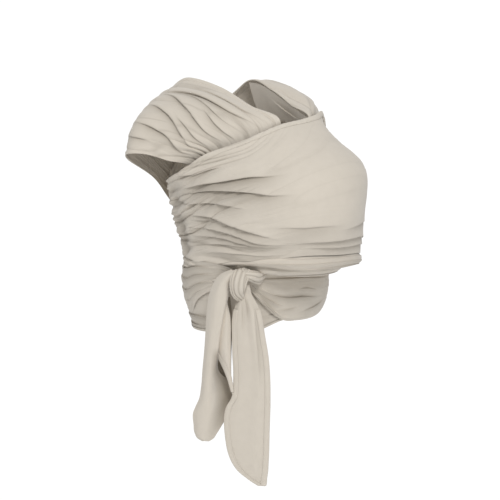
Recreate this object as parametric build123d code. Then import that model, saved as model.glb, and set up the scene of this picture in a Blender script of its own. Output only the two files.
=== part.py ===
"""Baby wrap sling, worn: one long stretch cloth wound round a wearer's torso and tied at the right hip.

The cloth is divided where it turns a shoulder, a side or the knot. Each stretch of it is one solid in
its own node. The wearer faces -Y, +X is the wearer's left and +Z is up. The origin is on the axis of
the torso at the height of the waist. All sizes are in millimetres.
"""

from build123d import *
from math import cos, radians, sin
import os

os.makedirs("parts", exist_ok=True)

# Driving dimensions
PASS_THICKNESS = 4.0  # one gathered stretch of the cloth
LAYER_STEP = 7.5  # from a back pass's outer face to the outer face of the one under it
WAIST_STEP = 9.5  # the same between the two turns round the waist
HEM_WIDTH = 10.0
HEM_GAP = 3.8  # from a hem to the stretch it edges
TAIL_THICKNESS = 9.0  # a tail hangs folded lengthwise
BEND_GAP = 7.5  # from a tail's bending line to the solids above and below it
KNOT_BEARING = -50.0  # degrees from the front of the wearer, towards the right side
KNOT_OUT = 158.0  # from the torso's axis to the middle of the knot
KNOT_HEIGHT = 22.0
TAIL_TOP = -8.0  # height of the line at which both tails bend out of the knot
SHORT_MIDDLE = -125.0  # height of the line at which the short tail bends half way down
SHORT_END = -246.0
LONG_MIDDLE = -165.0
LONG_END = -325.0
ROLL_RADIUS = 8.0  # of the rolled edge that carries the baby's seat
CROWN = 3.0  # rise of a band between its two edges

# The torso with the cloth on it: height, half width, half depth, place of its middle along Y
TORSO = [
    (-74.0, 124.0, 105.0, 0.0),
    (-36.0, 130.0, 110.0, 0.0),
    (0.0, 140.0, 120.0, 0.0),
    (60.0, 140.0, 119.0, 0.0),
    (150.0, 150.0, 123.0, 8.0),
    (230.0, 157.0, 127.0, 26.0),
]

# The baby's back under the pocket, as the crossing stretches lie over it: the same four sizes
BABY = [
    (45.0, 114.0, 104.0, -60.0),
    (120.0, 122.0, 144.0, -60.0),
    (195.0, 122.0, 148.0, -60.0),
    (260.0, 104.0, 100.0, -55.0),
    (300.0, 82.0, 50.0, -48.0),
]


def on_form(form, bearing, height, out=0.0):
    """A point on one of the two forms, at that bearing from the front (-90 is the right side)."""
    for low, high in zip(form, form[1:]):
        if height <= high[0]:
            break
    share = (height - low[0]) / (high[0] - low[0])
    _, half_width, half_depth, middle = (a + share * (b - a) for a, b in zip(low, high))
    angle = radians(bearing)
    return ((half_width + out) * sin(angle), middle - (half_depth + out) * cos(angle), height)


def torso_row(bearing, top, bottom, out=0.0):
    """Three points down the torso at one bearing, with the middle one a little proud."""
    middle = on_form(TORSO, bearing, (top + bottom) / 2, out + CROWN)
    return [on_form(TORSO, bearing, top, out), middle, on_form(TORSO, bearing, bottom, out)]


def mirrored(row):
    """The same row of points on the wearer's other side."""
    return [(-x, y, z) for x, y, z in row]


def inside(row, depth):
    """The three points of a row, moved by that depth towards the middle of the arc through them."""
    a, b, c = (Vector(*point) for point in row)
    ab, ac = b - a, c - a
    normal = ab.cross(ac)
    to_middle = (normal.cross(ab) * ac.dot(ac) + ac.cross(normal) * ab.dot(ab)) / (2 * normal.dot(normal))
    middle = a + to_middle
    return [point + (middle - point).normalized() * depth for point in (a, b, c)]


def section(row, depth, thickness):
    """The cut through a stretch of cloth: the band between two arcs about the same middle."""
    outer = inside(row, depth)
    inner = inside(row, depth + thickness)
    band = [
        ThreePointArc(*outer),
        Line(outer[2], inner[2]),
        ThreePointArc(*reversed(inner)),
        Line(inner[0], outer[0]),
    ]
    return Face(Wire(band))


def cloth(rows, depth=0.0, thickness=PASS_THICKNESS):
    """A stretch of cloth through rows of three points: one edge, the crown and the other edge."""
    return loft([section(row, depth, thickness) for row in rows])


def part_of(row, start, stop):
    """Three points of the arc through a row, between two distances from its first point."""
    arc = ThreePointArc(*row)
    points = [arc @ (distance / arc.length) for distance in (start, (start + stop) / 2, stop)]
    return [(point.X, point.Y, point.Z) for point in points]


def hemmed(rows):
    """A stretch of cloth and, in its own solid, the folded hem along the first points of its rows."""
    hem = cloth([part_of(row, 0, HEM_WIDTH) for row in rows])
    lengths = [ThreePointArc(*row).length for row in rows]
    stretch = cloth([part_of(row, HEM_WIDTH + HEM_GAP, length) for row, length in zip(rows, lengths)])
    return stretch, hem


# The pocket: the widest stretch, spread over the baby at the front. Rows run from its right end to its
# left end, each from the top edge over the fullest point to the bottom edge.
RIGHT_END = torso_row(-90, 222, 50)
LEFT_END = torso_row(90, 228, 50)
POCKET = [
    RIGHT_END,
    [(-140, -24, 249), (-151, -62, 146), (-132, -68, 56)],
    [(-92, -85, 284), (-124, -158, 162), (-104, -134, 66)],
    [(-40, -110, 314), (-66, -228, 164), (-58, -186, 70)],
    [(0, -117, 322), (0, -246, 168), (0, -204, 70)],
    [(40, -112, 328), (66, -232, 166), (60, -190, 68)],
    [(94, -82, 329), (128, -162, 166), (112, -140, 64)],
    [(136, -28, 284), (154, -62, 148), (134, -68, 56)],
    LEFT_END,
]
pocket_panel, pocket_top_hem = hemmed(POCKET)

# The lower edge of the pocket is rolled under the baby's seat and runs back to the waist.
SEAT_EDGE = [row[2] for row in POCKET[1:-1]]
roll_path = Spline(*[Vector(x, y, z) + Vector(0, ROLL_RADIUS, -ROLL_RADIUS - 2) for x, y, z in SEAT_EDGE])
seat_roll = sweep(Plane(roll_path @ 0, z_dir=roll_path % 0) * Circle(ROLL_RADIUS), path=roll_path)
seat_tuck = cloth(
    [
        [(-58, -164, 58), (-53, -138, 54), (-48, -113, 55)],
        [(-30, -174, 59), (-27, -144, 54), (-25, -120, 55)],
        [(0, -180, 59), (0, -150, 54), (0, -123, 55)],
        [(58, -166, 57), (53, -138, 53), (48, -113, 54)],
        [(106, -120, 55), (92, -102, 51), (78, -86, 53)],
    ]
)

# The gathered stretches at the sides, from the ends of the pocket to the back passes.
RIGHT_BACK_END = torso_row(-112, 205, 50)
LEFT_BACK_END = mirrored(RIGHT_BACK_END)
right_side_gather = cloth([torso_row(-91, 220, 52), torso_row(-101, 213, 50), RIGHT_BACK_END])
left_side_gather = cloth([torso_row(91, 226, 52), torso_row(101, 216, 50), LEFT_BACK_END])

# The right shoulder: from under the pocket's top edge, over the shoulder and the upper arm, to the back.
# Rows run from the neck edge over the crown to the arm edge.
RIGHT_CHEST = [
    [(-32, -96, 294), (-84, -68, 258), (-134, 24, 212)],
    [(-34, -100, 313), (-86, -70, 282), (-137, 20, 236)],
    [(-45, -40, 338), (-116, -36, 322), (-186, 35, 250)],
    [(-62, 31, 371), (-142, 30, 350), (-214, 62, 254)],
    [(-78, 104, 388), (-158, 100, 354), (-226, 95, 250)],
]
RIGHT_CAP = [
    RIGHT_CHEST[-1],
    [(-72, 146, 358), (-140, 144, 330), (-190, 134, 240)],
    [(-45, 166, 318), (-110, 162, 288), (-147, 140, 218)],
]
right_chest_pass, right_chest_hem = hemmed(RIGHT_CHEST)
right_shoulder_cap, right_nape_hem = hemmed(RIGHT_CAP)

# The left shoulder: the same stretches on the other side, with the chest pass a little higher.
LEFT_CHEST = [
    [(32, -98, 304), (82, -62, 286), (134, 18, 232)],
    [(34, -102, 322), (86, -64, 314), (138, 14, 254)],
    [(50, -40, 345), (116, -32, 340), (184, 35, 264)],
    [(64, 31, 370), (140, 28, 356), (214, 62, 258)],
    mirrored(RIGHT_CHEST[-1]),
]
LEFT_CAP = [mirrored(row) for row in RIGHT_CAP]
left_chest_pass, left_chest_hem = hemmed(LEFT_CHEST)
left_shoulder_cap, left_nape_hem = hemmed(LEFT_CAP)

# The cross on the back: each stretch runs from a shoulder to the opposite side. The one from the right
# shoulder lies over the other one.
RIGHT_BACK = [
    RIGHT_CAP[-1],
    [(22, 168, 280), (-36, 162, 232), (-92, 138, 158)],
    [(76, 146, 236), (40, 146, 176), (-10, 126, 92)],
    [(124, 110, 208), (108, 108, 140), (72, 104, 60)],
    LEFT_BACK_END,
]
LEFT_BACK = [mirrored(row) for row in RIGHT_BACK]
back_over_pass = cloth(RIGHT_BACK)
back_under_pass = cloth(LEFT_BACK[:1] + [inside(row, LAYER_STEP) for row in LEFT_BACK[1:-1]] + LEFT_BACK[-1:])

# The cross over the baby's back, inside the pocket: from each chest pass down to the opposite hip.
FRONT_OVER = [
    [(-31, -103, 285), (-82, -76, 249), (-133, 11, 202)],
    [on_form(BABY, -8, 288), on_form(BABY, -26, 236), on_form(BABY, -58, 176)],
    [on_form(BABY, 26, 240), on_form(BABY, 6, 176), on_form(BABY, -22, 112)],
    [on_form(BABY, 58, 178), on_form(BABY, 46, 124), on_form(BABY, 34, 72)],
    torso_row(68, 138, 58, -16),
    torso_row(84, 118, 52, -10),
]
FRONT_UNDER = [
    [(31, -99, 295), (80, -64, 277), (130, 10, 223)],
    [on_form(BABY, 8, 288, -10.5), on_form(BABY, 26, 238, -10.5), on_form(BABY, 58, 180, -10.5)],
    [on_form(BABY, -26, 240, -10.5), on_form(BABY, -6, 176, -10.5), on_form(BABY, 22, 112, -10.5)],
    [on_form(BABY, -58, 178, -10.5), on_form(BABY, -46, 124, -10.5), on_form(BABY, -34, 72, -10.5)],
    torso_row(-68, 138, 58, -16),
    torso_row(-84, 118, 52, -10),
]
front_over_pass = cloth(FRONT_OVER)
front_under_pass = cloth(FRONT_UNDER)

# Two turns round the waist, each from the knot all the way round and back to the knot: bearing, top and
# bottom of the turn.
OUTER_TURN = [
    (-36, 38, -28),
    (0, 45, -44),
    (35, 44, -46),
    (70, 40, -36),
    (105, 38, -28),
    (140, 40, -26),
    (180, 40, -24),
    (220, 40, -26),
    (255, 42, -28),
    (285, 42, -20),
    (300, 38, 4),
]
INNER_TURN = [
    (-42, 30, -60),
    (0, 30, -57),
    (35, 30, -52),
    (70, 28, -44),
    (105, 26, -40),
    (140, 26, -42),
    (180, 26, -46),
    (220, 26, -52),
    (255, 28, -60),
    (285, 30, -64),
    (308, 30, -62),
]
waist_outer_turn = cloth([torso_row(*entry) for entry in OUTER_TURN])
INNER_ROWS = [list(reversed(torso_row(*entry, -WAIST_STEP))) for entry in INNER_TURN]
waist_inner_turn, waist_lower_hem = hemmed(INNER_ROWS)

# The knot and the tails, in a plane that faces out of the knot: right, up and out of it.
angle = radians(KNOT_BEARING)
outward = Vector(sin(angle), -cos(angle), 0)
knot_plane = Plane(outward * KNOT_OUT + Vector(0, 0, KNOT_HEIGHT), (cos(angle), sin(angle), 0), outward)


def strand(points, radius, flatness):
    """A flattened round strand of gathered cloth along a curve in the knot's plane."""
    path = Spline(*points)
    start = Plane(path @ 0, z_dir=path % 0)
    return knot_plane * sweep(start * Ellipse(radius, radius * flatness), path=path)


knot_core = knot_plane * Pos(-6, -8, 4) * scale(Sphere(1), (13, 19, 14))
OVER = [(40, 4, -12), (24, 14, 6), (0, 20, 16), (-25, 13, 9), (-36, -2, 4), (-40, -20, 4)]
UNDER = [(-42, 4, -19), (-14, 0, -19), (10, -6, -17), (20, -14, -10.5), (12, -24, 1)]
knot_over_strand = strand(OVER, 8, 0.7)
knot_under_strand = strand(UNDER, 6.5, 0.7)


def tail(levels):
    """A length of tail through (height, left, right, out) levels measured in the knot's plane."""
    rows = []
    for height, left, right, out in levels:
        up = height - KNOT_HEIGHT
        crown = out + (right - left) / 5
        points = [(left, up, out), ((left + right) / 2, up, crown), (right, up, out)]
        rows.append([tuple(knot_plane.from_local_coords(point)) for point in points])
    return cloth(rows, 0, TAIL_THICKNESS)


short_tail_upper = tail(
    [
        (TAIL_TOP - BEND_GAP, -57, -30, 2),
        (-70, -65, -25, 2),
        (SHORT_MIDDLE + BEND_GAP, -68, -25, 2),
    ]
)
short_tail_lower = tail(
    [
        (SHORT_MIDDLE - BEND_GAP, -70, -27, 2),
        (-185, -77, -38, 2),
        (-225, -84, -45, 2),
        (SHORT_END + HEM_WIDTH + 1, -82, -50, 2),
    ]
)
short_tail_hem = tail([(SHORT_END + HEM_WIDTH, -82, -50, 2), (SHORT_END, -78, -56, 2)])
long_tail_upper = tail(
    [
        (TAIL_TOP - BEND_GAP, -10, 22, 2),
        (-70, -17, 36, 2),
        (LONG_MIDDLE + BEND_GAP, -18, 44, 2),
    ]
)
long_tail_lower = tail(
    [
        (LONG_MIDDLE - BEND_GAP, -20, 45, 2),
        (-215, -28, 44, 2),
        (-270, -24, 42, 2),
        (LONG_END + HEM_WIDTH + 1, 0, 38, 2),
    ]
)
long_tail_hem = tail([(LONG_END + HEM_WIDTH, 2, 38, 2), (LONG_END, 18, 36, 2)])

nodes = {
    "pocket_panel": pocket_panel,
    "pocket_top_hem": pocket_top_hem,
    "seat_roll": seat_roll,
    "seat_tuck": seat_tuck,
    "right_side_gather": right_side_gather,
    "left_side_gather": left_side_gather,
    "right_chest_pass": right_chest_pass,
    "right_shoulder_cap": right_shoulder_cap,
    "right_chest_hem": right_chest_hem,
    "right_nape_hem": right_nape_hem,
    "left_chest_pass": left_chest_pass,
    "left_shoulder_cap": left_shoulder_cap,
    "left_chest_hem": left_chest_hem,
    "left_nape_hem": left_nape_hem,
    "back_over_pass": back_over_pass,
    "back_under_pass": back_under_pass,
    "front_over_pass": front_over_pass,
    "front_under_pass": front_under_pass,
    "waist_outer_turn": waist_outer_turn,
    "waist_inner_turn": waist_inner_turn,
    "waist_lower_hem": waist_lower_hem,
    "knot_core": knot_core,
    "knot_over_strand": knot_over_strand,
    "knot_under_strand": knot_under_strand,
    "short_tail_upper": short_tail_upper,
    "short_tail_lower": short_tail_lower,
    "short_tail_hem": short_tail_hem,
    "long_tail_upper": long_tail_upper,
    "long_tail_lower": long_tail_lower,
    "long_tail_hem": long_tail_hem,
}
for name, solid in nodes.items():
    export_step(solid, f"parts/{name}.step")
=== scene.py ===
"""Baby wrap sling: the looks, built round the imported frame. Lengths in the sections are in millimetres."""

import math

import bmesh
import bpy
import numpy as np
from mathutils import Matrix, Vector


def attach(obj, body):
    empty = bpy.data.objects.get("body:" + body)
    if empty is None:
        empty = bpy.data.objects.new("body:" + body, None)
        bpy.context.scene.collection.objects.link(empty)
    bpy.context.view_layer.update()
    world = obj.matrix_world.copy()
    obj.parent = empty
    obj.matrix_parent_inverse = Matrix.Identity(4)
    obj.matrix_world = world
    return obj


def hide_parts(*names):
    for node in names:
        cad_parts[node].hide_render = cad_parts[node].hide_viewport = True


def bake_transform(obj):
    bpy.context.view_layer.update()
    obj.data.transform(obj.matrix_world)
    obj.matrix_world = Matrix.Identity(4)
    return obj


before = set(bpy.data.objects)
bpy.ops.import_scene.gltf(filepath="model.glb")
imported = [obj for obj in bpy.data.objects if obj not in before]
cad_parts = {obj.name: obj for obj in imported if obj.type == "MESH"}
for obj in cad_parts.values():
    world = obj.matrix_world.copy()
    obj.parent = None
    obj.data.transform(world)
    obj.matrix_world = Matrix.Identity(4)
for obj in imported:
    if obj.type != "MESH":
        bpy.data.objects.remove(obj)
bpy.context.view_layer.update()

# ---------------------------------------------------------------------------------------------------
# The wrap. One strip of cotton jersey, about five metres by half a metre, knitted in one piece with
# nothing sewn but its edges. Worn, it runs from the left hip up over the baby's back and the right
# shoulder, down the back, round the left side, over the front as the pocket, and the same way back.

MM = 0.001
MESH_ALONG, MESH_ACROSS = 2.6, 1.4

# The bodies under the cloth, in levels of height, half width, half depth and middle
TORSO = [
    (-74, 124, 105, 0), (-36, 130, 110, 0), (0, 140, 120, 0), (60, 140, 119, 0), (150, 150, 123, 8),
    (230, 157, 127, 26),
]
BABY = [(45, 118, 108, -60), (120, 126, 148, -60), (195, 126, 152, -60), (260, 108, 104, -55), (300, 84, 54, -48)]


def on_form(form, bearing, height, out=0.0):
    """A point on the torso or the baby, by its bearing and height, and how far out of the body it is."""
    heights, *sizes = zip(*form)
    half_width, half_depth, middle = (np.interp(height, heights, size) for size in sizes)
    angle = math.radians(bearing)
    return ((half_width + out) * math.sin(angle), middle - (half_depth + out) * math.cos(angle), height)


def torso_row(bearing, top, bottom, out=0.0, crown=3.0):
    """A row down the torso: top edge, middle and bottom edge."""
    middle = on_form(TORSO, bearing, (top + bottom) / 2, out + crown)
    return [on_form(TORSO, bearing, top, out), middle, on_form(TORSO, bearing, bottom, out)]


def mirrored(rows):
    """The rows on the other side of the body."""
    return [[(-x, y, z) for x, y, z in row] for row in rows]


def sunk(rows, depth):
    """The rows moved towards the middle of the torso."""
    return [[(x - depth * np.sign(x) * 0.3, y - depth * np.sign(y), z) for x, y, z in row] for row in rows]


def curve_points(row, count):
    """Evenly spaced points on a smooth curve through a row's points: an arc where it has three."""
    if len(row) > 3:
        knots = np.array(row, float)
        ends = np.concatenate([2 * knots[:1] - knots[1:2], knots, 2 * knots[-1:] - knots[-2:-1]])
        t = np.linspace(0, 1, 24)[:, None]
        fine = [knots[:1]]
        for a, b, c, d in zip(ends, ends[1:], ends[2:], ends[3:]):
            bend = (a - 2.5 * b + 2 * c - d / 2) * t**2 + (1.5 * (b - c) + (d - a) / 2) * t**3
            fine.append((b + (c - a) * t / 2 + bend)[1:])
        fine = np.concatenate(fine)
        run = np.concatenate([[0], np.cumsum(np.linalg.norm(np.diff(fine, axis=0), axis=1))])
        return np.stack([np.interp(np.linspace(0, run[-1], count), run, fine[:, k]) for k in range(3)], axis=1)
    a, b, c = (np.array(point, float) for point in row)
    ab, ac = b - a, c - a
    normal = np.cross(ab, ac)
    to_middle = (np.cross(normal, ab) * ac.dot(ac) + np.cross(ac, normal) * ab.dot(ab)) / (2 * normal.dot(normal))
    middle = a + to_middle
    start = a - middle
    side = np.cross(normal / np.linalg.norm(normal), start)
    sweep = math.atan2((c - middle).dot(side), (c - middle).dot(start)) % math.tau
    angles = np.linspace(0, sweep, count)[:, None]
    return middle + start * np.cos(angles) + side * np.sin(angles)


class Strip:
    """A length of cloth through rows of points, with each row's place along it in millimetres."""

    COUNT = 121  # points across each row

    def __init__(self, rows):
        self.rows = np.array([curve_points(row, self.COUNT) for row in rows])
        steps = np.linalg.norm(np.diff(self.rows, axis=0), axis=2)[:, 18:-18].mean(axis=1)
        self.at = np.concatenate([[0], np.cumsum(steps)])

    def places(self, along, across):
        """Points at distances along the strip and, for each, at shares across it."""
        rows, at = self.rows, self.at
        chords = np.diff(rows, axis=0) / np.diff(at)[:, None, None]
        gaps = np.diff(at)[:, None, None]
        inner = (chords[:-1] * gaps[1:] + chords[1:] * gaps[:-1]) / (gaps[:-1] + gaps[1:])
        slopes = np.concatenate([chords[:1], inner, chords[-1:]])
        k = np.clip(np.searchsorted(at, along, side="right") - 1, 0, len(at) - 2)
        span = (at[k + 1] - at[k])[:, None, None]
        t = ((along - at[k]) / (at[k + 1] - at[k]))[:, None, None]
        p0, p1, m0, m1 = rows[k], rows[k + 1], slopes[k] * span, slopes[k + 1] * span
        lines = p0 * (2 * t**3 - 3 * t**2 + 1) + m0 * (t**3 - 2 * t**2 + t)
        lines = lines + p1 * (3 * t**2 - 2 * t**3) + m1 * (t**3 - t**2)
        share = np.clip(np.broadcast_to(across, (len(along), np.shape(across)[-1])), 0, 1) * (self.COUNT - 1)
        low = np.clip(share.astype(int), 0, self.COUNT - 2)
        part = (share - low)[..., None]
        row = np.arange(len(along))[:, None]
        return lines[row, low] * (1 - part) + lines[row, low + 1] * part


def ripple(x, y, seed):
    """Smooth random values from -1 to 1, one knot per unit of x and y."""
    knots = np.random.default_rng(seed).uniform(-1, 1, (97, 97))
    x0, y0 = np.floor(x).astype(int), np.floor(y).astype(int)
    fx, fy = x - x0, y - y0
    fx, fy = fx * fx * (3 - 2 * fx), fy * fy * (3 - 2 * fy)
    a, b = knots[x0 % 97, y0 % 97], knots[(x0 + 1) % 97, y0 % 97]
    c, d = knots[x0 % 97, (y0 + 1) % 97], knots[(x0 + 1) % 97, (y0 + 1) % 97]
    return (a * (1 - fx) + b * fx) * (1 - fy) + (c * (1 - fx) + d * fx) * fy


def fold_relief(s, v, width, folds):
    """Height, sideways slip and painted shade of lap folds, each a depth, a softness and places on the cloth."""
    height, slip, painted_shade = np.zeros(s.shape), np.zeros(s.shape), np.zeros(s.shape)
    for depth, soft, path in folds:
        at, share = np.array(sorted(path), float).T
        fine = np.linspace(at[0], at[-1], 80)
        line = np.interp(fine, at, share)
        pad = np.concatenate([2 * line[0] - line[8:0:-1], line, 2 * line[-1] - line[-2:-10:-1]])
        bell = np.hanning(19)[1:-1]
        line = np.interp(s, fine, np.convolve(pad, bell / bell.sum(), "valid"))
        fade = np.clip(np.minimum(s - at[0], at[-1] - s) / min(95, 0.45 * (at[-1] - at[0])), 0, 1)
        fade = fade * fade * (3 - 2 * fade)
        x = (v - line) * width * np.sign(depth)
        edge = np.tanh(x / 1.3)
        height += abs(depth) * fade * np.exp(-np.abs(x) / soft) * (0.25 - 0.75 * edge)
        slip -= depth * fade * edge * 0.8 * np.exp(-((x / (1.5 + abs(depth))) ** 2))
        # Painted shade: darkest along each fold's line and fading away below it, as a fold's shadow would.
        under = np.where(x > 0, np.exp(-x / (0.9 * soft)), np.exp(x / 1.4))
        painted_shade = np.maximum(painted_shade, fade * under * min(abs(depth) / 4.0, 1.0))
    return height, slip, painted_shade


def surface(strip, along, across, folds=(), gathers=None, lift=0.0, beyond=0.0):
    """The cloth's points and painted shade, with its gathers and folds, lifted off itself and moved past its edge."""
    points = strip.places(along, across)
    full = strip.places(along, np.linspace(0, 1, 60))
    width = np.linalg.norm(np.diff(full, axis=1), axis=2).sum(axis=1)[:, None]
    v = np.clip(np.broadcast_to(across, points.shape[:2]), 0, 1)
    s = along[:, None] + 0 * v
    down = strip.places(along, np.clip(v + 0.004, 0, 1)) - strip.places(along, np.clip(v - 0.004, 0, 1))
    onward = strip.places(along + 0.5, v) - strip.places(along - 0.5, v)
    down = down / np.maximum(np.linalg.norm(down, axis=2), 1e-9)[..., None]
    out = np.cross(onward, down)
    out = out / np.maximum(np.linalg.norm(out, axis=2), 1e-9)[..., None]
    height, slip, painted_shade = fold_relief(s, v, width, folds)
    if gathers is not None:
        pleats, between = gathers(s, v)
        height = height + pleats
        # The gathers' painted shade joins the folds' painted shade.
        painted_shade = np.maximum(painted_shade, between)
    return points + out * (height + lift)[..., None] + down * (slip + beyond)[..., None], np.clip(painted_shade, 0, 1)


RIGHT_END, LEFT_END = torso_row(-90, 222, 50), torso_row(90, 228, 50)
POCKET = [
    RIGHT_END,
    [(-141, -24, 249), (-149, -42, 200), (-151, -60, 146), (-145, -68, 100), (-134, -66, 62)],
    [(-94, -86, 280), (-112, -120, 236), (-126, -152, 176), (-120, -156, 112), (-104, -134, 68)],
    [(-40, -110, 303), (-58, -156, 265), (-72, -214, 205), (-71, -222, 132), (-60, -192, 76)],
    [(0, -117, 311), (0, -160, 280), (0, -226, 226), (0, -241, 140), (0, -210, 76)],
    [(40, -112, 320), (52, -148, 282), (68, -210, 224), (64, -211, 134), (63, -198, 76)],
    [(88, -80, 327), (91, -91, 287), (124, -142, 224), (120, -143, 134), (118, -145, 70)],
    [(132, -32, 286), (140, -42, 254), (152, -60, 196), (154, -72, 122), (136, -68, 58)],
    LEFT_END,
]
RIGHT_BACK_END = torso_row(-112, 205, 50)
LEFT_BACK_END = mirrored([RIGHT_BACK_END])[0]
RIGHT_CHEST = [
    [(-32, -96, 292), (-84, -68, 258), (-134, 22, 204)],
    [(-34, -100, 310), (-86, -70, 280), (-138, 18, 228)],
    [(-45, -40, 334), (-80, -45, 334), (-118, -34, 318), (-156, -4, 284), (-186, 35, 242)],
    [(-62, 31, 370), (-99, 28, 362), (-142, 30, 344), (-184, 44, 304), (-213, 62, 252)],
    [(-78, 104, 388), (-121, 102, 366), (-166, 100, 343), (-207, 98, 304), (-226, 95, 250)],
]
RIGHT_CAP = [
    [(-76, 142, 368), (-140, 144, 334), (-190, 134, 240)],
    [(-52, 164, 335), (-108, 162, 292), (-136, 140, 213)],
]
LEFT_CHEST = [
    [(32, -98, 304), (82, -62, 286), (134, 18, 232)],
    [(34, -102, 318), (86, -64, 312), (138, 14, 254)],
    [(50, -40, 341), (86, -42, 350), (119, -32, 338), (154, -4, 305), (184, 35, 258)],
    [(64, 31, 372), (99, 28, 379), (142, 28, 354), (184, 44, 311), (213, 62, 256)],
    [(78, 104, 388), (121, 102, 384), (167, 100, 352), (207, 98, 308), (226, 95, 250)],
]
RIGHT_BACK = [
    [(22, 168, 284), (-34, 164, 232), (-86, 138, 162)],
    [(76, 146, 236), (40, 146, 176), (-10, 126, 92)],
    [(124, 110, 208), (108, 108, 140), (72, 104, 60)],
]
FRONT_OVER = [
    [on_form(BABY, -8, 288), on_form(BABY, -26, 236), on_form(BABY, -58, 176)],
    [on_form(BABY, 26, 240), on_form(BABY, 6, 176), on_form(BABY, -22, 112)],
    [on_form(BABY, 58, 178), on_form(BABY, 46, 124), on_form(BABY, 34, 72)],
    torso_row(68, 138, 58, -16),
    torso_row(84, 118, 52, -10),
]
FRONT_UNDER = [
    [on_form(BABY, 8, 288, -9), on_form(BABY, 26, 238, -9), on_form(BABY, 58, 180, -9)],
    [on_form(BABY, -26, 240, -9), on_form(BABY, -6, 176, -9), on_form(BABY, 22, 112, -9)],
    [on_form(BABY, -58, 178, -9), on_form(BABY, -46, 124, -9), on_form(BABY, -34, 72, -9)],
    torso_row(-68, 138, 58, -16),
    torso_row(-84, 118, 52, -10),
]

rows = FRONT_OVER[::-1]
marks = {"left_hip": 0}
rows = rows + RIGHT_CHEST
marks["right_chest"] = len(FRONT_OVER)
marks["right_shoulder"] = len(rows) - 1
rows = rows + RIGHT_CAP
marks["right_blade"] = len(rows) - 1
rows = rows + RIGHT_BACK + [LEFT_BACK_END]
marks["left_back"] = len(rows) - 1
rows = rows + [torso_row(101, 216, 50)] + POCKET[::-1] + [torso_row(-101, 213, 50)]
marks["left_side"] = marks["left_back"] + 2
marks["right_side"] = len(rows) - 2
rows = rows + [RIGHT_BACK_END]
marks["right_back"] = len(rows) - 1
rows = rows + sunk(mirrored(RIGHT_BACK), 7.5)[::-1] + mirrored(RIGHT_CAP)[::-1]
marks["left_blade"] = len(rows) - 2
rows = rows + LEFT_CHEST[::-1]
marks["left_shoulder"] = len(rows) - 5
marks["left_chest"] = len(rows) - 1
rows = rows + FRONT_UNDER
marks["right_hip"] = len(rows) - 1

wrap = Strip(rows)
mark = {name: wrap.at[index] for name, index in marks.items()}


def grid_mesh(name, points, flat_along, flat_across, painted_shade=None, closed=False, thick=0.0):
    """A sheet on a grid of points, with a UV map in flat metres and the painted shade at each point."""
    along, across = points.shape[:2]
    sheet = bmesh.new()
    bmesh.ops.create_grid(sheet, x_segments=along - 1, y_segments=across - 1, size=1.0)
    mesh = bpy.data.meshes.new(name)
    sheet.to_mesh(mesh)
    sheet.free()
    co = np.empty(len(mesh.vertices) * 3)
    mesh.vertices.foreach_get("co", co)
    co = co.reshape(-1, 3)
    i = np.rint((co[:, 0] + 1) / 2 * (along - 1)).astype(int)
    j = np.rint((co[:, 1] + 1) / 2 * (across - 1)).astype(int)
    mesh.vertices.foreach_set("co", (points[i, j] * MM).ravel())
    corner = np.empty(len(mesh.loops), dtype=np.int32)
    mesh.loops.foreach_get("vertex_index", corner)
    uv = np.stack([flat_along[i[corner]], flat_across[j[corner]]], axis=1)
    mesh.uv_layers.new(name="flat").data.foreach_set("uv", uv.ravel())
    mesh.polygons.foreach_set("use_smooth", [True] * len(mesh.polygons))
    # The painted shade is kept on the sheet as a point attribute, which the material reads to darken its colour.
    depth = np.zeros(points.shape[:2]) if painted_shade is None else painted_shade
    mesh.attributes.new("painted_shade", "FLOAT", "POINT").data.foreach_set("value", depth[i, j].astype(np.float32))
    mesh.update()
    if closed:
        shell = bmesh.new()
        shell.from_mesh(mesh)
        bmesh.ops.remove_doubles(shell, verts=shell.verts, dist=1e-6)
        bmesh.ops.holes_fill(shell, edges=[edge for edge in shell.edges if edge.is_boundary], sides=0)
        bmesh.ops.recalc_face_normals(shell, faces=shell.faces)
        shell.to_mesh(mesh)
        shell.free()
    piece = bpy.data.objects.new(name, mesh)
    bpy.context.scene.collection.objects.link(piece)
    if thick:
        wall = piece.modifiers.new("thickness", "SOLIDIFY")
        wall.thickness = thick
        wall.offset = 0
    return piece


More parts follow.
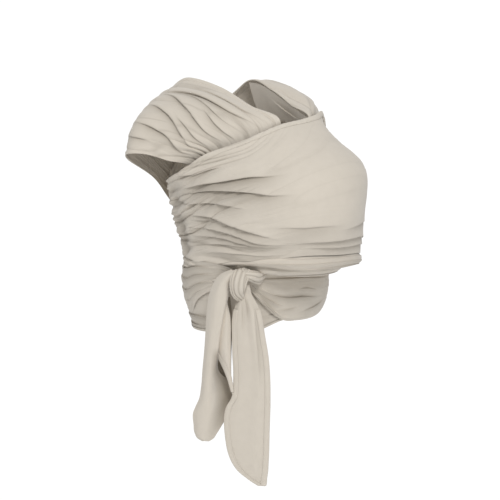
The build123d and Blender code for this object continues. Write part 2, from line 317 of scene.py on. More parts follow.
def jersey(name, light, dark):
    """Matte knitted cotton: fine wales along the strip, soft mottling, a slight fuzz, and painted shade that darkens
    the colour in deep folds.
    """
    material = bpy.data.materials.new(name)
    material.use_nodes = True
    nodes, links = material.node_tree.nodes, material.node_tree.links
    shader = nodes["Principled BSDF"]
    shader.inputs["Roughness"].default_value = 0.92
    shader.inputs["Specular IOR Level"].default_value = 0.2
    shader.inputs["Sheen Weight"].default_value = 0.25
    shader.inputs["Sheen Roughness"].default_value = 0.6
    place = nodes.new("ShaderNodeTexCoord")
    mottle = nodes.new("ShaderNodeTexNoise")
    mottle.inputs["Scale"].default_value = 60
    mottle.inputs["Detail"].default_value = 4
    links.new(place.outputs["Object"], mottle.inputs["Vector"])
    tone = nodes.new("ShaderNodeMix")
    tone.data_type = "RGBA"
    tone.inputs["A"].default_value = (*dark, 1)
    tone.inputs["B"].default_value = (*light, 1)
    links.new(mottle.outputs["Fac"], tone.inputs["Factor"])
    # Painted shade: the attribute mixes the colour towards a dark brown, up to 85 per cent, in creases, folds and
    # hollows.
    depth = nodes.new("ShaderNodeAttribute")
    depth.attribute_name = "painted_shade"
    painted_shade_mix = nodes.new("ShaderNodeMix")
    painted_shade_mix.data_type = "RGBA"
    painted_shade_mix.inputs["B"].default_value = (0.22, 0.185, 0.14, 1)
    painted_shade_amount = nodes.new("ShaderNodeMath")
    painted_shade_amount.operation = "MULTIPLY"
    painted_shade_amount.inputs[1].default_value = 0.85
    links.new(depth.outputs["Fac"], painted_shade_amount.inputs[0])
    links.new(painted_shade_amount.outputs["Value"], painted_shade_mix.inputs["Factor"])
    links.new(tone.outputs["Result"], painted_shade_mix.inputs["A"])
    links.new(painted_shade_mix.outputs["Result"], shader.inputs["Base Color"])
    uv = nodes.new("ShaderNodeUVMap")
    uv.uv_map = "flat"
    wales = nodes.new("ShaderNodeTexWave")
    wales.bands_direction = "Y"
    wales.inputs["Scale"].default_value = 180
    wales.inputs["Distortion"].default_value = 1.5
    wales.inputs["Detail"].default_value = 2
    links.new(uv.outputs["UV"], wales.inputs["Vector"])
    bump = nodes.new("ShaderNodeBump")
    bump.inputs["Strength"].default_value = 0.15
    bump.inputs["Distance"].default_value = 0.0004
    links.new(wales.outputs["Fac"], bump.inputs["Height"])
    links.new(bump.outputs["Normal"], shader.inputs["Normal"])
    return material


SAND = ((0.67, 0.612, 0.53), (0.62, 0.565, 0.485))
wrap_jersey = jersey("wrap_jersey", *SAND)


def cloth(name, strip, start, stop, folds=(), gathers=None, paint=None, thick=0.0):
    """A piece of cloth: the stretch of a strip between two places along it."""
    along = np.linspace(start, stop, int((stop - start) / MESH_ALONG) + 2)
    middle = strip.places(np.array([(start + stop) / 2]), np.linspace(0, 1, 60))
    width = np.linalg.norm(np.diff(middle, axis=1), axis=2).sum()
    across = np.linspace(0, 1, int(width / MESH_ACROSS) + 2)
    points, painted_shade = surface(strip, along, across, folds, gathers)
    piece = grid_mesh(name, points, along * MM, across * width * MM, painted_shade, thick=thick)
    piece.data.materials.append(paint or wrap_jersey)
    return piece


# How deep the gathers are at each mark, in millimetres
GATHERS = [
    ("left_hip", 1.8), ("right_chest", 2.4), ("right_shoulder", 1.9), ("right_blade", 2.0), ("left_back", 3.0),
    ("left_side", 4.0), ("right_side", 4.2), ("right_back", 3.8), ("left_blade", 2.0), ("left_shoulder", 1.9),
    ("left_chest", 2.4), ("right_hip", 1.8),
]


def wrap_gathers(s, v):
    """Fine lengthwise pleats, deep at the sides and over the shoulders and nearly gone over the baby, with painted
    shade in their valleys and in the hollows at the sides.
    """
    deep = np.interp(s, [mark[m] for m, _ in GATHERS], [d for _, d in GATHERS])
    middle = (mark["left_side"] + mark["right_side"]) / 2
    deep = deep * (1 - 0.9 * np.exp(-(((s - middle) / 190) ** 4)))
    waves = np.abs(ripple(s / 170, v * 15 + 4 * ripple(s / 210, v * 2, 8), 3))
    broad = waves * 1.7
    fine = np.abs(ripple(s / 90, v * 33, 4)) * 0.6
    side = np.exp(-(((s - mark["right_side"] - 40) / 48) ** 2)) + np.exp(-(((s - mark["left_side"] + 40) / 48) ** 2))
    hollow = side**3 * np.clip(v * 6, 0, 1) * np.clip((1 - v) * 5, 0, 1)
    bunches = np.abs(ripple(s / 70, v * 14 + 1.5 * ripple(s / 60, v * 4, 10), 9))
    crumple = side * 8.0 * bunches
    swell = 1.6 * ripple(s / 120, v * 3, 12)
    # Painted shade in the pleats' valleys and in the hollows at the sides, between the bunches.
    between = np.clip(deep / 4, 0, 1) * np.clip(1 - waves * 5, 0, 1) * 0.6
    between = between + 0.6 * hollow * np.clip(1.15 - bunches * 1.6, 0, 1)
    return deep * (broad + fine) + crumple + swell - 9 * hollow, between


# Folds that lap over themselves: depth, softness, then places along from the mark and across
POCKET_FOLDS = [
    (3.0, 6, [(-12, 0.04), (30, 0.11), (60, 0.125)]),
    (3.2, 8, [(-8, 0.11), (53, 0.145), (112, 0.18)]),
    (4.4, 14, [(-30, 0.15), (50, 0.25), (100, 0.31), (150, 0.34), (185, 0.39), (225, 0.42)]),
    (4.4, 15, [(-30, 0.20), (50, 0.31), (100, 0.39), (150, 0.465), (180, 0.53), (228, 0.58)]),
    (3.6, 11, [(-20, 0.32), (55, 0.43), (110, 0.54), (150, 0.60)]),
    (4.8, 11, [(-20, 0.42), (52, 0.55), (97, 0.67), (145, 0.765), (200, 0.86)]),
    (2.8, 9, [(-10, 0.49), (52, 0.595), (120, 0.725)]),
    (3.8, 9, [(-20, 0.55), (50, 0.665), (97, 0.755), (145, 0.835), (215, 0.91)]),
    (3.6, 8, [(-20, 0.63), (50, 0.74), (97, 0.81), (140, 0.86), (220, 0.93)]),
    (3.0, 7, [(-20, 0.75), (25, 0.79), (72, 0.83), (123, 0.87), (205, 0.935)]),
    (2.6, 6, [(10, 0.87), (40, 0.885), (80, 0.905), (137, 0.945), (210, 0.985)]),
    (1.6, 20, [(160, 0.73), (230, 0.79), (310, 0.80)]),
    (3.4, 7, [(190, 0.90), (260, 0.90), (340, 0.885), (430, 0.90), (520, 0.93)]),
    (3.0, 6, [(215, 0.945), (300, 0.945), (400, 0.94), (500, 0.96)]),
    (2.0, 12, [(290, 0.83), (380, 0.80), (460, 0.81)]),
]
CHEST_FOLDS = [
    (2.6, 5, [(195, 0.12), (160, 0.145), (128, 0.17), (100, 0.19), (72, 0.195), (45, 0.155), (15, 0.10)]),
    (4.2, 7, [(240, 0.24), (165, 0.27), (108, 0.29), (85, 0.295), (55, 0.27), (15, 0.18)]),
    (2.6, 6, [(230, 0.28), (150, 0.31), (128, 0.34), (95, 0.385), (60, 0.41), (15, 0.36)]),
    (3.0, 7, [(130, 0.38), (100, 0.43), (75, 0.47), (50, 0.50), (15, 0.46)]),
    (3.8, 6, [(240, 0.31), (195, 0.33), (150, 0.44), (130, 0.48), (105, 0.535), (80, 0.575), (55, 0.60), (15, 0.56)]),
    (2.8, 4, [(172, 0.42), (140, 0.475), (112, 0.56)]),
    (3.4, 5, [(150, 0.54), (130, 0.60), (108, 0.63), (90, 0.66), (66, 0.695), (28, 0.73)]),
    (4.0, 7, [(240, 0.46), (188, 0.52), (163, 0.575), (135, 0.63), (112, 0.69), (82, 0.755), (35, 0.84)]),
    (4.4, 8, [(235, 0.69), (175, 0.735), (150, 0.76), (122, 0.78), (93, 0.83), (70, 0.87), (20, 0.89)]),
    (2.2, 7, [(245, 0.81), (205, 0.845), (178, 0.86), (130, 0.89)]),
]


def from_mark(name, way, folds, shift=0.0):
    """The folds at places along the wrap, counted one way or the other from a mark."""
    return [(depth, soft, [(mark[name] + way * d, v + shift) for d, v in path]) for depth, soft, path in folds]


FOLDS = (
    from_mark("right_side", -1, POCKET_FOLDS)
    + from_mark("left_side", 1, POCKET_FOLDS[:11], 0.012)
    + from_mark("right_chest", 1, CHEST_FOLDS)
    + from_mark("left_chest", -1, CHEST_FOLDS)
)


def folds_between(low, high):
    return [fold for fold in FOLDS if max(p[0] for p in fold[2]) > low and min(p[0] for p in fold[2]) < high]


def lay(name, start, stop, width, *nodes, thick=0.0):
    """One stretch of the wrap between two marks; width, that of its outer layer spread flat, is not used."""
    low, high = mark[start], mark[stop]
    piece = cloth(name, wrap, low, high, folds_between(low, high), wrap_gathers, thick=thick)
    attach(piece, "wrap")
    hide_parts(*nodes)


lay("pocket", "left_side", "right_side", 0.27, "pocket_panel")
lay("left_side_cloth", "left_back", "left_side", 0.20, "left_side_gather")
lay("right_side_cloth", "right_side", "right_back", 0.20, "right_side_gather")
lay("back_over_cloth", "right_blade", "left_back", 0.18, "back_over_pass")
lay("back_under_cloth", "right_back", "left_blade", 0.18, "back_under_pass")
lay("right_shoulder_cloth", "right_shoulder", "right_blade", 0.20, "right_shoulder_cap", thick=0.0012)
lay("left_shoulder_cloth", "left_blade", "left_shoulder", 0.20, "left_shoulder_cap", thick=0.0012)
lay("right_chest_cloth", "right_chest", "right_shoulder", 0.22, "right_chest_pass", thick=0.0012)
lay("left_chest_cloth", "left_shoulder", "left_chest", 0.22, "left_chest_pass", thick=0.0012)
lay("front_over_cloth", "left_hip", "right_chest", 0.15, "front_over_pass")
lay("front_under_cloth", "left_chest", "right_hip", 0.15, "front_under_pass")

# ---------------------------------------------------------------------------------------------------
# The hems. The strip's long edges are turned once and sewn down with a narrow stretch stitch, which
# makes a soft band about nine millimetres wide along the neck edge and the top of the pocket.

hem_jersey = jersey("hem_jersey", (0.68, 0.622, 0.54), (0.64, 0.585, 0.50))
HEM_SECTION = [
    (4.5, -1.2), (2.0, -1.6), (0.2, -1.3), (-0.8, -0.5), (-1.1, 0.3), (-0.7, 1.1), (0.2, 1.7), (2.0, 2.0),
    (4.5, 2.0), (7.0, 1.9), (8.0, 1.3), (8.6, 1.7), (9.3, 1.4), (9.8, 0.4),
]


def hem(name, strip, start, stop, nodes, body, edge=0, folds=(), gathers=None, paint=None):
    """The turned edge along one side of a strip."""
    along = np.linspace(start, stop, int((stop - start) / MESH_ALONG) + 2)
    full = strip.places(along, np.linspace(0, 1, 60))
    width = np.linalg.norm(np.diff(full, axis=1), axis=2).sum(axis=1)[:, None]
    inward = np.array([u for u, _ in HEM_SECTION])[None, :]
    rise = np.array([h for _, h in HEM_SECTION])[None, :] + 0 * width
    share = np.clip(inward, 0, None) / width
    beyond = np.clip(inward, None, 0) + 0 * width
    if edge:
        share, beyond = 1 - share[:, ::-1], -beyond[:, ::-1]
        rise = rise[:, ::-1]
    points, painted_shade = surface(strip, along, share, folds, gathers, rise, beyond)
    # The hem carries four fifths of the cloth's painted shade.
    piece = grid_mesh(name, points, along * MM, np.arange(len(HEM_SECTION)) * 0.0015, painted_shade * 0.8)
    piece.data.materials.append(paint or hem_jersey)
    if body:
        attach(piece, body)
    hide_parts(*nodes)
    return piece


def wrap_hem(name, start, stop, *nodes):
    """The hem along the wrap's neck edge between two marks."""
    low, high = mark[start], mark[stop]
    hem(name, wrap, low, high, nodes, "wrap", folds=folds_between(low, high), gathers=wrap_gathers)


wrap_hem("pocket_top_edge", "left_side", "right_side", "pocket_top_hem")
wrap_hem("right_neck_edge", "right_chest", "right_shoulder", "right_chest_hem")
wrap_hem("left_neck_edge", "left_shoulder", "left_chest", "left_chest_hem")
wrap_hem("right_nape_edge", "right_shoulder", "right_blade", "right_nape_hem")
wrap_hem("left_nape_edge", "left_blade", "left_shoulder", "left_nape_hem")

# The neck edge of the left shoulder's pass is turned in, so its inner side shows across the neck opening
NECK_TURN = [
    [(78, 106, 387), (80, 94, 352), (84, 77, 314)],
    [(70, 66, 382), (73, 58, 350), (79, 46, 316)],
    [(64, 31, 370), (66, 28, 344), (73, 20, 314)],
    [(50, -40, 340), (53, -42, 324), (60, -46, 304)],
    [(35, -100, 317), (37, -99, 306), (42, -94, 294)],
]
turn_in = Strip(NECK_TURN)
TURN_FOLDS = [(2.5, 6, [(60, 0.25), (110, 0.45), (170, 0.6)])]
neck_turn = cloth("left_neck_turn", turn_in, 0, turn_in.at[-1], TURN_FOLDS)
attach(neck_turn, "wrap")

# ---------------------------------------------------------------------------------------------------
# The seat. The pocket's lower edge is rolled under the baby's seat into a thick soft roll, and the rest
# of the cloth is tucked back under it to the wearer's waist.

SEAT = [
    ((-140, 0, 50), 3.5), ((-134, -66, 63), 4), ((-105, -134, 69), 7), ((-60, -192, 76), 15), ((0, -210, 76), 13.5),
    ((63, -200, 76), 12.5), ((119, -147, 70), 11), ((136, -68, 60), 6), ((140, 0, 50), 4),
]


def roll_row(place, tall):
    """A section over the roll, from its top round the front to underneath."""
    x, y, z = place
    away = np.array([x * 0.7, y, 0]) / math.hypot(x * 0.7, y)
    deep = min(tall, 11)
    middle = np.array([x, y, z]) - away * (deep - 2.5) - np.array([0, 0, 0.8 * tall])
    turns = [math.radians(angle) for angle in (95, 60, 25, -10, -45, -80, -120, -160)]
    return [tuple(middle + away * deep * math.cos(a) + np.array([0, 0, tall * math.sin(a)])) for a in turns]


roll = Strip([roll_row(place, tall) for place, tall in SEAT])
ROLL_FOLDS = [
    (1.8, 4, [(40, 0.46), (180, 0.42), (300, 0.40), (450, 0.42), (540, 0.48)]),
    (2.0, 5, [(90, 0.66), (230, 0.62), (330, 0.58), (420, 0.62), (500, 0.66)]),
    (1.6, 4, [(150, 0.27), (240, 0.24), (380, 0.24), (460, 0.3)]),
]


def roll_gathers(s, v):
    """Soft pleats along the roll, with painted shade in their valleys."""
    waves = np.abs(ripple(s / 120, v * 9, 21))
    return 1.2 * waves + 0.8 * ripple(s / 70, v * 2, 22), 0.4 * np.clip(1 - waves * 5, 0, 1)


seat_roll = cloth("seat_roll_cloth", roll, 0, roll.at[-1], ROLL_FOLDS, roll_gathers)
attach(seat_roll, "wrap")
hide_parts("seat_roll")

TUCK = [
    [(-112, -92, 58), (-110, -88, 48), (-100, -80, 44), (-88, -76, 44)],
    [(-80, -152, 58), (-80, -150, 44), (-72, -138, 40), (-56, -108, 44)],
    [(-40, -178, 62), (-40, -176, 44), (-36, -160, 37), (-30, -116, 43)],
    [(0, -184, 62), (0, -182, 44), (0, -166, 37), (0, -119, 43)],
    [(42, -176, 62), (42, -174, 46), (38, -160, 39), (30, -116, 43)],
    [(84, -140, 58), (84, -138, 46), (74, -128, 41), (56, -108, 43)],
    [(114, -86, 54), (112, -84, 46), (104, -78, 43), (90, -74, 44)],
]
tuck = Strip(TUCK)
TUCK_FOLDS = [(2.0, 5, [(20, 0.35), (150, 0.30), (260, 0.34)]), (1.8, 5, [(60, 0.62), (170, 0.55), (250, 0.6)])]
seat_tuck = cloth("seat_tuck_cloth", tuck, 0, tuck.at[-1], TUCK_FOLDS, roll_gathers)
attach(seat_tuck, "wrap")
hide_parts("seat_tuck")

# ---------------------------------------------------------------------------------------------------
# The waist. The two ends of the strip are brought round the waist and over each other, spread to about
# ten centimetres, and pulled together again where they go into the knot.

OUTER_TURN = [
    (-44, 34, 14, 6), (-38, 38, 0, 6), (-31, 42, -18, 5), (-23, 45, -34, 5), (-13, 47, -46, 4), (0, 48, -48, 3),
    (20, 45, -46, 2), (38, 44, -40, 1), (70, 46, -36, 0), (105, 60, -28, 0), (140, 68, -26, 0), (180, 70, -24, 0),
    (220, 66, -28, 0), (240, 62, -36, 0), (254, 60, -34, 2), (268, 61, -10, 6), (284, 60, 8, 11), (298, 56, 14, 16),
    (306, 50, 17, 18),
]
INNER_TURN = [
    (-42, 64, -62, 14), (-33, 64, -61, 10), (-24, 64, -54, 8), (-15, 64, -47, 6), (0, 62, -44, 4), (18, 58, -42, 2),
    (35, 54, -38, 0), (70, 52, -36, 0), (105, 62, -36, 0), (140, 70, -42, 0), (180, 72, -46, 0), (210, 68, -52, 0),
    (232, 62, -64, 2), (255, 60, -67, 2), (285, 64, -67, 10), (308, 64, -64, 18),
]


def waist_row(bearing, top, bottom, flare, out, crown):
    """A row down a turn of the waist, its top edge flared out to meet the seat."""
    row = torso_row(bearing, top, bottom, out, crown)
    return [on_form(TORSO, bearing, top, out + flare), *row[1:]]


def angle_at(strip, turn, bearing):
    """How far along a turn a bearing lies."""
    return float(np.interp(bearing, [entry[0] for entry in turn], strip.at))


outer = Strip([waist_row(*entry, 2.0, 3.0) for entry in OUTER_TURN])
under_outer = [-5.5 + 5 * max(0, 1 - abs(entry[0] - 240) / 45) for entry in INNER_TURN]
inner = Strip([waist_row(*entry, out, 2.0) for entry, out in zip(INNER_TURN, under_outer)])
OUTER_FOLDS = [
    (2.4, 6, [(-50, 0.30), (-38, 0.20), (-28, 0.16), (0, 0.17), (45, 0.2)]),
    (3.4, 7, [(-50, 0.35), (-42, 0.33), (-35, 0.50), (-27, 0.56), (-18, 0.54), (0, 0.52), (24, 0.56)]),
    (3.2, 6, [(-50, 0.5), (-42, 0.42), (-36, 0.66), (-30, 0.72), (-20, 0.72), (-12, 0.70)]),
    (3.0, 5, [(-50, 0.7), (-42, 0.6), (-38, 0.80), (-31, 0.88), (-22, 0.92), (-12, 0.93)]),
    (1.8, 6, [(-24, 0.88), (-12, 0.76), (0, 0.70)]),
    (1.8, 7, [(-4, 0.86), (14, 0.76), (34, 0.64)]),
    (1.4, 9, [(-10, 0.40), (4, 0.36), (20, 0.42)]),
    (2.2, 8, [(40, 0.5), (80, 0.45), (130, 0.5)]),
    (2.0, 8, [(60, 0.75), (110, 0.7), (170, 0.74), (230, 0.7)]),
    (2.2, 8, [(100, 0.25), (160, 0.3), (215, 0.25)]),
    (4.0, 6, [(215, 0.17), (250, 0.16), (272, 0.15), (300, 0.22)]),
    (4.0, 6, [(215, 0.33), (250, 0.35), (272, 0.38), (302, 0.5)]),
    (3.6, 6, [(218, 0.52), (252, 0.56), (270, 0.62), (300, 0.74)]),
    (2.4, 4, [(236, 0.72), (252, 0.76), (266, 0.80), (290, 0.86)]),
]
INNER_FOLDS = [
    (3.8, 7, [(218, 0.79), (262, 0.78), (300, 0.81)]),
    (3.0, 6, [(215, 0.91), (256, 0.92), (286, 0.90)]),
    (1.4, 8, [(-42, 0.8), (-20, 0.84), (10, 0.88)]),
    (2.0, 8, [(60, 0.8), (120, 0.84), (200, 0.8)]),
]


def round_waist(strip, turn, folds):
    """The folds at places along a turn, given by bearing."""
    return [(depth, soft, [(angle_at(strip, turn, b), v) for b, v in path]) for depth, soft, path in folds]


def waist_gathers(s, v):
    """Pleats along a turn of the waist, with faint painted shade in their valleys."""
    waves = np.abs(ripple(s / 130, v * 8, 31))
    height = 1.4 * waves + 0.5 * np.abs(ripple(s / 60, v * 17, 32)) + 0.9 * ripple(s / 60, v * 2.5, 33)
    return height, 0.12 * np.clip(1 - waves * 5, 0, 1)


outer_folds = round_waist(outer, OUTER_TURN, OUTER_FOLDS)
outer_turn = cloth("waist_outer_cloth", outer, 0, outer.at[-1], outer_folds, waist_gathers)
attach(outer_turn, "wrap")
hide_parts("waist_outer_turn")
inner_folds = round_waist(inner, INNER_TURN, INNER_FOLDS)
inner_turn = cloth("waist_inner_cloth", inner, 0, inner.at[-1], inner_folds, waist_gathers)
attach(inner_turn, "wrap")
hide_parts("waist_inner_turn")
hem("waist_lower_edge", inner, 0, inner.at[-1], ["waist_lower_hem"], "wrap", 1, inner_folds, waist_gathers)

# ---------------------------------------------------------------------------------------------------
# The knot, at the wearer's right front. One end crosses over the other and is pulled down through, so a
# short upright fold of bunched cloth hides the crossing. Places are right, up and out of the knot.

KNOT_BEARING, KNOT_OUT, KNOT_HEIGHT = math.radians(-50), 158, 22
knot_jersey = jersey("knot_jersey", *SAND)


def at_knot(right, up, out):
    """A place measured from the knot: to the right, up, and away from the wearer."""
    x = right * math.cos(KNOT_BEARING) + (KNOT_OUT + out) * math.sin(KNOT_BEARING)
    y = right * math.sin(KNOT_BEARING) - (KNOT_OUT + out) * math.cos(KNOT_BEARING)
    return (x, y, KNOT_HEIGHT + up)


def strand(name, path, pleats, seed, node):
    """Bunched cloth along a curve: places with half width and half thickness, and creases along it with painted shade
    in them.
    """
    length, girth = 90, 72
    places = curve_points([entry[:3] for entry in path], length)
    run = np.linspace(0, 1, length)
    given = np.linspace(0, 1, len(path))
    wide = np.interp(run, given, [entry[3] for entry in path])
    thick = np.interp(run, given, [entry[4] for entry in path])
    bell = np.hanning(23)[1:-1]
    bell = bell / bell.sum()
    wide = np.convolve(np.pad(wide, 10, "edge"), bell, "valid")
    thick = np.convolve(np.pad(thick, 10, "edge"), bell, "valid")
    ahead = np.gradient(places, axis=0)
    ahead = ahead / np.linalg.norm(ahead, axis=1)[:, None]
    side = np.cross(ahead, [0, 0, 1.0])
    sure = np.linalg.norm(side, axis=1)[:, None]
    side = side / np.maximum(sure, 1e-3)
    for k in range(1, length):
        # Where the path runs straight away from the wearer, the side is carried over
        if sure[k] < 0.5:
            side[k] = side[k - 1] - ahead[k] * side[k - 1].dot(ahead[k])
            side[k] = side[k] / np.linalg.norm(side[k])
        if side[k].dot(side[k - 1]) < 0:
            side[k] = -side[k]
    rise = np.cross(side, ahead)
    around = np.linspace(0, math.tau, girth)
    u, t = around[None, :] + 0 * run[:, None], run[:, None] + 0 * around[None, :]
    painted_shade = np.zeros(u.shape)
    swell = 1 + 0.06 * ripple(t * 5, np.sin(u) * 2 + 5, seed + 1)
    chance = np.random.default_rng(seed)
    for k in range(pleats):
        line = math.tau * (k + 0.5) / pleats + chance.uniform(-0.15, 0.15) + 1.1 * (t - 0.5)
        line = line + 0.25 * ripple(t * 3, 0 * t + k * 3.0, seed + 2)
        crease = np.exp(-(((u - line) / 0.12) ** 2))
        swell = swell - chance.uniform(0.18, 0.38) * crease
        # Painted shade along each crease.
        painted_shade = np.maximum(painted_shade, 0.45 * crease)
    # The two edges of the grid meet, so they swell alike
    swell = np.where((u < 1e-9) | (u > math.tau - 1e-9), swell[:, :1], swell)
    half_width = np.cos(u) * wide[:, None] * (1 + 0.4 * (swell - 1))
    local = places[:, None, :] + side[:, None, :] * half_width[..., None]
    local = local + rise[:, None, :] * (np.sin(u) * thick[:, None] * swell)[..., None]
    points = np.stack(at_knot(local[..., 0], local[..., 1], local[..., 2]), axis=-1)
    piece = grid_mesh(name, points, run * 0.1, around / math.tau * 0.06, painted_shade, closed=True)
    piece.data.materials.append(knot_jersey)
    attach(piece, "wrap")
    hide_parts(node)


strand(
    "knot_fold",
    [
        (0, 14, -12, 12, 6), (-1, 23, -2, 14, 8), (-4, 19, 12, 16, 9), (-8, 5, 17, 15.5, 9), (-9, -10, 13, 13, 8),
        (-6, -20, 5, 9, 6), (-3, -23, -8, 7, 5),
    ],
    11, 41, "knot_core",
)
strand(
    "knot_right_fold",
    [
        (-12, 14, -6, 9, 7), (-2, 18, 6, 10, 7), (8, 19, 9, 10, 7), (17, 17, 3, 11, 7), (23, 14, -9, 12, 7),
        (28, 12, -26, 13, 6),
    ],
    9, 43, "knot_over_strand",
)
strand(
    "knot_left_fold",
    [(-62, 6, -40, 8, 5), (-50, 4, -27, 9, 6), (-35, 2, -16, 9, 6), (-20, 0, -10, 9, 6), (-6, -4, -6, 9, 6)],
    9, 45, "knot_under_strand",
)

# ---------------------------------------------------------------------------------------------------
# The short tail. The end that comes over the knot to the left hangs folded in two lengthwise, so that
# its inner layer shows beside the outer one and its cut end opens like a pocket below them.

tail_jersey = jersey("tail_jersey", *SAND)


def tail_rows(levels):
    """Rows across a tail: the height, then right and out for each point."""
    return [[at_knot(right, row[0] - KNOT_HEIGHT, out) for right, out in zip(row[1::2], row[2::2])] for row in levels]


class Tail(Strip):
    """A strip that hangs from the knot, with the height of each of its rows."""

    def __init__(self, levels):
        super().__init__(tail_rows(levels))
        self.heights = [row[0] for row in levels]

    def between(self, top, bottom):
        """The places along the strip at two heights."""
        return [float(np.interp(-h, [-z for z in self.heights], self.at)) for h in (top, bottom)]


def bend_tail(piece):
    """The piece's placing, baked into its mesh."""
    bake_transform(piece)


def tail_part(name, tail, top, bottom, gathers, nodes=(), folds=()):
    """A stretch of a tail between two heights."""
    piece = cloth(name, tail, *tail.between(top, bottom), folds, gathers, paint=tail_jersey)
    bend_tail(piece)
    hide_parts(*nodes)


def tail_hem(name, tail, top, bottom, edge=0, nodes=()):
    """The turned edge down one side of a tail."""
    bend_tail(hem(name, tail, *tail.between(top, bottom), nodes, None, edge, (), tail_billow, tail_jersey))


SHORT_OUTER = [
    (50, -22, 2, -19, 8, -15, 12, -11, 13, -7, 11, -4, 6),
    (42, -40, 3, -34, 10, -27, 15, -20, 16, -14, 13, -11, 6),
    (26, -53, 2, -46, 10, -38, 16, -30, 16, -25, 12, -23, 4),
    (5, -61, 1, -54, 9, -45, 15, -35, 15, -28, 12, -26, 2),
    (-27, -66, 0, -58, 8, -49, 13, -41, 13, -34, 11, -33, 0),
    (-62, -69, 0, -62, 8, -55, 12, -47, 12, -41, 9, -41, -2),
    (-103, -72, 0, -65, 8, -58, 11, -51, 11, -46, 8, -46, -3),
    (-130, -74, 0, -67, 8, -61, 11, -55, 10, -49, 4, -46, -8),
    (-157, -76, 0, -69, 8, -62, 10, -56, 6, -47, -12, -24, -24),
    (-180, -80, 0, -72, 8, -63, 10, -54, 4, -43, -11, -19, -23),
    (-193, -86, 0, -76, 8, -65, 10, -55, 5, -43, -9, -23, -21),
    (-206, -91, 0, -80, 7, -69, 10, -58, 6, -45, -6, -29, -18),
    (-226, -90, 0, -81, 7, -71, 9, -62, 7, -51, -1, -39, -12),
    (-241, -88, 0, -82, 6, -74, 8, -66, 7, -57, 3, -48, -4),
    (-251, -82, 1, -78, 5, -73, 7, -67, 6, -61, 5, -55, 1),
    (-255, -74, 3, -72, 4, -70, 5, -67, 5, -65, 4, -62, 3),
]
SHORT_INNER = [
    (18, -32, -6, -30, -3, -28, 0, -26, -1, -25, -4),
    (1, -41, -7, -38, -3, -34, 0, -31, 1, -29, -3),
    (-36, -50, -7, -42, -2, -36, 2, -29, 4, -23.5, -1),
    (-74, -56, -8, -46, -2, -38, 3, -30, 5, -23, -1),
    (-97, -52, -7, -45, -1, -38, 4, -30, 6, -23, 0),
    (-118, -40, 0, -36, 2, -31, 5, -27, 6, -23, 1),
    (-141, -29, 4, -27, 5, -25.5, 5.5, -24, 5, -22, 2),
    (-170, -20, 4, -19.5, 4.2, -19, 4.5, -18.5, 4, -18, 3),
]
SHORT_BACK = [
    (0, -44, -14, -40, -16, -35, -17, -30, -18, -27, -18),
    (-36, -60, -9, -50, -16, -40, -20, -31, -22, -24, -22),
    (-74, -66, -6, -54, -18, -43, -23, -33, -25, -25, -25),
    (-103, -69, -4, -56, -18, -44, -25, -34, -27, -26, -26),
    (-130, -71, -3, -58, -15, -46, -24, -35, -27, -26.5, -27),
    (-157, -72, -2, -59, -10, -47, -18, -36, -25, -26, -27),
]


def tail_billow(s, v):
    """The slow waves of cloth that hangs free."""
    return 0.9 * ripple(s / 70, v * 2.2, 51) + 0.25 * ripple(s / 26, v * 5, 52), 0 * s


def front_billow(s, v):
    """The front layer, with painted shade on its right side, the inside of the fold below the inner layer's edge."""
    inside = np.clip((v - 0.46) / 0.32, 0, 1) * np.clip((s - 148) / 16, 0, 1) * np.clip((330 - s) / 80, 0, 1)
    return tail_billow(s, v)[0], inside


def inner_billow(s, v):
    """The inner layer, with painted shade along its left, beside the front one, and at its top, under the knot."""
    beside = np.clip(np.maximum(0.75 - v * 2.2, (45 - s) / 40), 0, 1)
    return tail_billow(s, v)[0], beside * np.clip((125 - s) / 30, 0, 1)


def back_billow(s, v):
    """The layer behind, seen only in the gaps, painted fully shaded all over."""
    return tail_billow(s, v)[0], 1 + 0 * s


outer_tail, inner_tail, back_tail = Tail(SHORT_OUTER), Tail(SHORT_INNER), Tail(SHORT_BACK)
tail_part("short_tail_front_top", outer_tail, 50, -66, front_billow, ["short_tail_upper"])
tail_part("short_tail_front_end", outer_tail, -66, -255, front_billow, ["short_tail_lower"])
tail_part("short_tail_inner_top", inner_tail, 18, -66, inner_billow)
tail_part("short_tail_inner_end", inner_tail, -66, -170, inner_billow)
tail_hem("short_tail_inner_edge", inner_tail, -97, -166, 0, ["short_tail_hem"])
tail_part("short_tail_back_top", back_tail, 0, -66, back_billow)
tail_part("short_tail_back_end", back_tail, -66, -157, back_billow)

# ---------------------------------------------------------------------------------------------------
# The long tail. The other end drops straight out from under the knot, spreads to a hand's breadth in a
# few soft folds, and is cut to a curved taper, with its right edge the longer one.

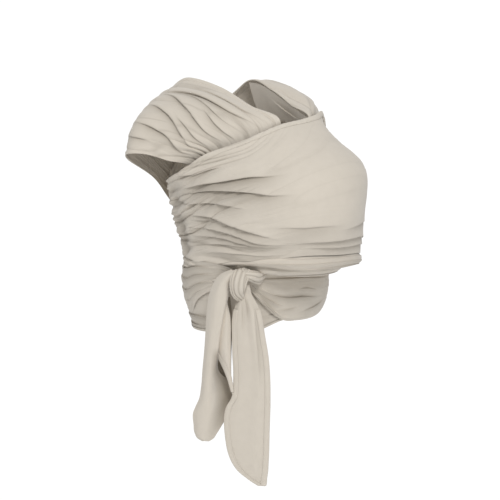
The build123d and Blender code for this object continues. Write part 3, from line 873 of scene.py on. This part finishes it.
LONG = [
    (24, -7, -6, -4, -1, 1, 2, 6, 1, 10, -4),
    (7, -11, -5, -6, 2, 1, 5, 8, 4, 14, -4),
    (-4, -13, -4, -6, 4, 2, 5, 10, 6, 20, -3),
    (-17, -16, -3, -7, 5, 4, 5, 15, 9, 27, -2),
    (-36, -19.5, -2, -8, 5, 5, 5, 18, 10, 32, -1),
    (-66, -20, -1, -7, 5, 8, 6, 22, 10, 37, 0),
    (-103, -19.5, 0, -6, 5, 12, 7, 27, 10, 43, 1),
    (-130, -18, 0, -4, 5, 14, 7, 29, 9, 45.5, 1),
    (-157, -18.5, 0, -4, 5, 14, 7, 30, 9, 46.5, 1),
    (-177, -21, 1, -6, 5, 13, 7, 30, 9, 46.5, 1),
    (-193, -30, 1, -12, 5, 8, 7, 28, 9, 46.5, 1),
    (-209, -34, 1, -15, 5, 6, 7, 27, 9, 46, 1),
    (-228, -34, 1, -15, 5, 6, 7, 27, 9, 45.5, 1),
    (-250, -32, 1, -14, 5, 7, 7, 27, 8, 45, 1),
    (-272, -28, 1, -10, 5, 8, 7, 27, 8, 44.5, 1),
    (-291, -20.5, 2, -5, 5, 11, 7, 28, 7, 43.5, 2),
    (-307, -9, 2, 4, 5, 17, 6, 30, 6, 42.5, 2),
    (-318, 5, 3, 14, 5, 23, 6, 32, 5, 41, 3),
    (-326, 17, 4, 23, 5, 29, 5, 35, 5, 40.5, 3),
    (-332, 29, 4, 31, 5, 34, 5, 37, 5, 39.5, 4),
]
LONG_FOLDS = [
    (1.6, 5, [(2, 0.30), (60, 0.33), (100, 0.32)]),
    (2.4, 5, [(2, 0.52), (40, 0.5), (75, 0.47)]),
    (1.4, 8, [(10, 0.78), (90, 0.74), (200, 0.70)]),
]


def long_billow(s, v):
    """The long tail, with painted shade where it comes out from under the knot."""
    return tail_billow(s, v)[0], np.clip((42 - s) / 30, 0, 1) * np.clip(0.9 - v * 1.8, 0, 1)


long_tail = Tail(LONG)
tail_part(
    "long_tail_cloth_top", long_tail, 24, -90, long_billow, ["long_tail_upper"], LONG_FOLDS
)
tail_part(
    "long_tail_cloth_end", long_tail, -90, -332, long_billow, ["long_tail_lower"], LONG_FOLDS
)
tail_hem("long_tail_left_edge_top", long_tail, -20, -90, 0)
tail_hem("long_tail_left_edge_end", long_tail, -90, -331, 0, ["long_tail_hem"])
tail_hem("long_tail_right_edge_top", long_tail, -20, -90, 1)
tail_hem("long_tail_right_edge_end", long_tail, -90, -331, 1)

# ---------------------------------------------------------------------------------------------------
# Floor, light and camera. The wearer stands, so the floor is well below the tails.

floor_sheet = bmesh.new()
bmesh.ops.create_circle(floor_sheet, cap_ends=True, segments=96, radius=2.4, matrix=Matrix.Translation((0, 0, -1)))
floor_mesh = bpy.data.meshes.new("floor")
floor_sheet.to_mesh(floor_mesh)
floor_sheet.free()
floor = bpy.data.objects.new("floor", floor_mesh)
bpy.context.scene.collection.objects.link(floor)
floor_paint = bpy.data.materials.new("floor_white")
floor_paint.use_nodes = True
floor_shader = floor_paint.node_tree.nodes["Principled BSDF"]
floor_shader.inputs["Base Color"].default_value = (0.95, 0.95, 0.95, 1)
floor_shader.inputs["Roughness"].default_value = 0.9
floor_shader.inputs["Emission Color"].default_value = (1, 1, 1, 1)
floor_shader.inputs["Emission Strength"].default_value = 0.1
floor.data.materials.append(floor_paint)

world = bpy.data.worlds.new("studio")
bpy.context.scene.world = world
world.use_nodes = True
sky_nodes, sky_links = world.node_tree.nodes, world.node_tree.links
sky_nodes["Background"].inputs["Color"].default_value = (1, 1, 1, 1)
sky_nodes["Background"].inputs["Strength"].default_value = 0.52
seen = sky_nodes.new("ShaderNodeBackground")
seen.inputs["Color"].default_value = (1, 1, 1, 1)
seen.inputs["Strength"].default_value = 1.05
ray = sky_nodes.new("ShaderNodeLightPath")
either = sky_nodes.new("ShaderNodeMixShader")
sky_links.new(ray.outputs["Is Camera Ray"], either.inputs["Fac"])
sky_links.new(sky_nodes["Background"].outputs["Background"], either.inputs[1])
sky_links.new(seen.outputs["Background"], either.inputs[2])
sky_links.new(either.outputs["Shader"], sky_nodes["World Output"].inputs["Surface"])


def softbox(name, place, aim, size, power):
    """A square studio lamp at a place, aimed at another."""
    data = bpy.data.lights.new(name, "AREA")
    data.size = size
    data.energy = power
    lamp = bpy.data.objects.new(name, data)
    lamp.location = place
    lamp.rotation_euler = (Vector(aim) - Vector(place)).to_track_quat("-Z", "Y").to_euler()
    bpy.context.scene.collection.objects.link(lamp)


CAMERA_BEARING = math.radians(-42)
CAMERA_RISE = math.radians(4)
CAMERA_AWAY = 3.0
AIM = Vector((-0.0082, 0.0074, 0.074))
to_camera = Vector(
    (
        math.sin(CAMERA_BEARING) * math.cos(CAMERA_RISE),
        -math.cos(CAMERA_BEARING) * math.cos(CAMERA_RISE),
        math.sin(CAMERA_RISE),
    )
)
softbox("back_light", (1.3, 2.3, 1.6), (0, 0, 0.1), 1.6, 16)
softbox("key_light", (-1.35, -1.95, 1.9), (0, -0.05, 0.12), 0.8, 39)
softbox("floor_bounce", (-1.2, -1.3, -0.75), (0, 0, 0), 1.2, 3)

camera_data = bpy.data.cameras.new("camera")
camera_data.lens = 116.8
camera_data.sensor_width = 36
camera = bpy.data.objects.new("camera", camera_data)
camera.location = AIM + to_camera * CAMERA_AWAY
camera.rotation_euler = to_camera.to_track_quat("Z", "Y").to_euler()
bpy.context.scene.collection.objects.link(camera)
bpy.context.scene.camera = camera
bpy.context.scene.view_settings.view_transform = "Standard"
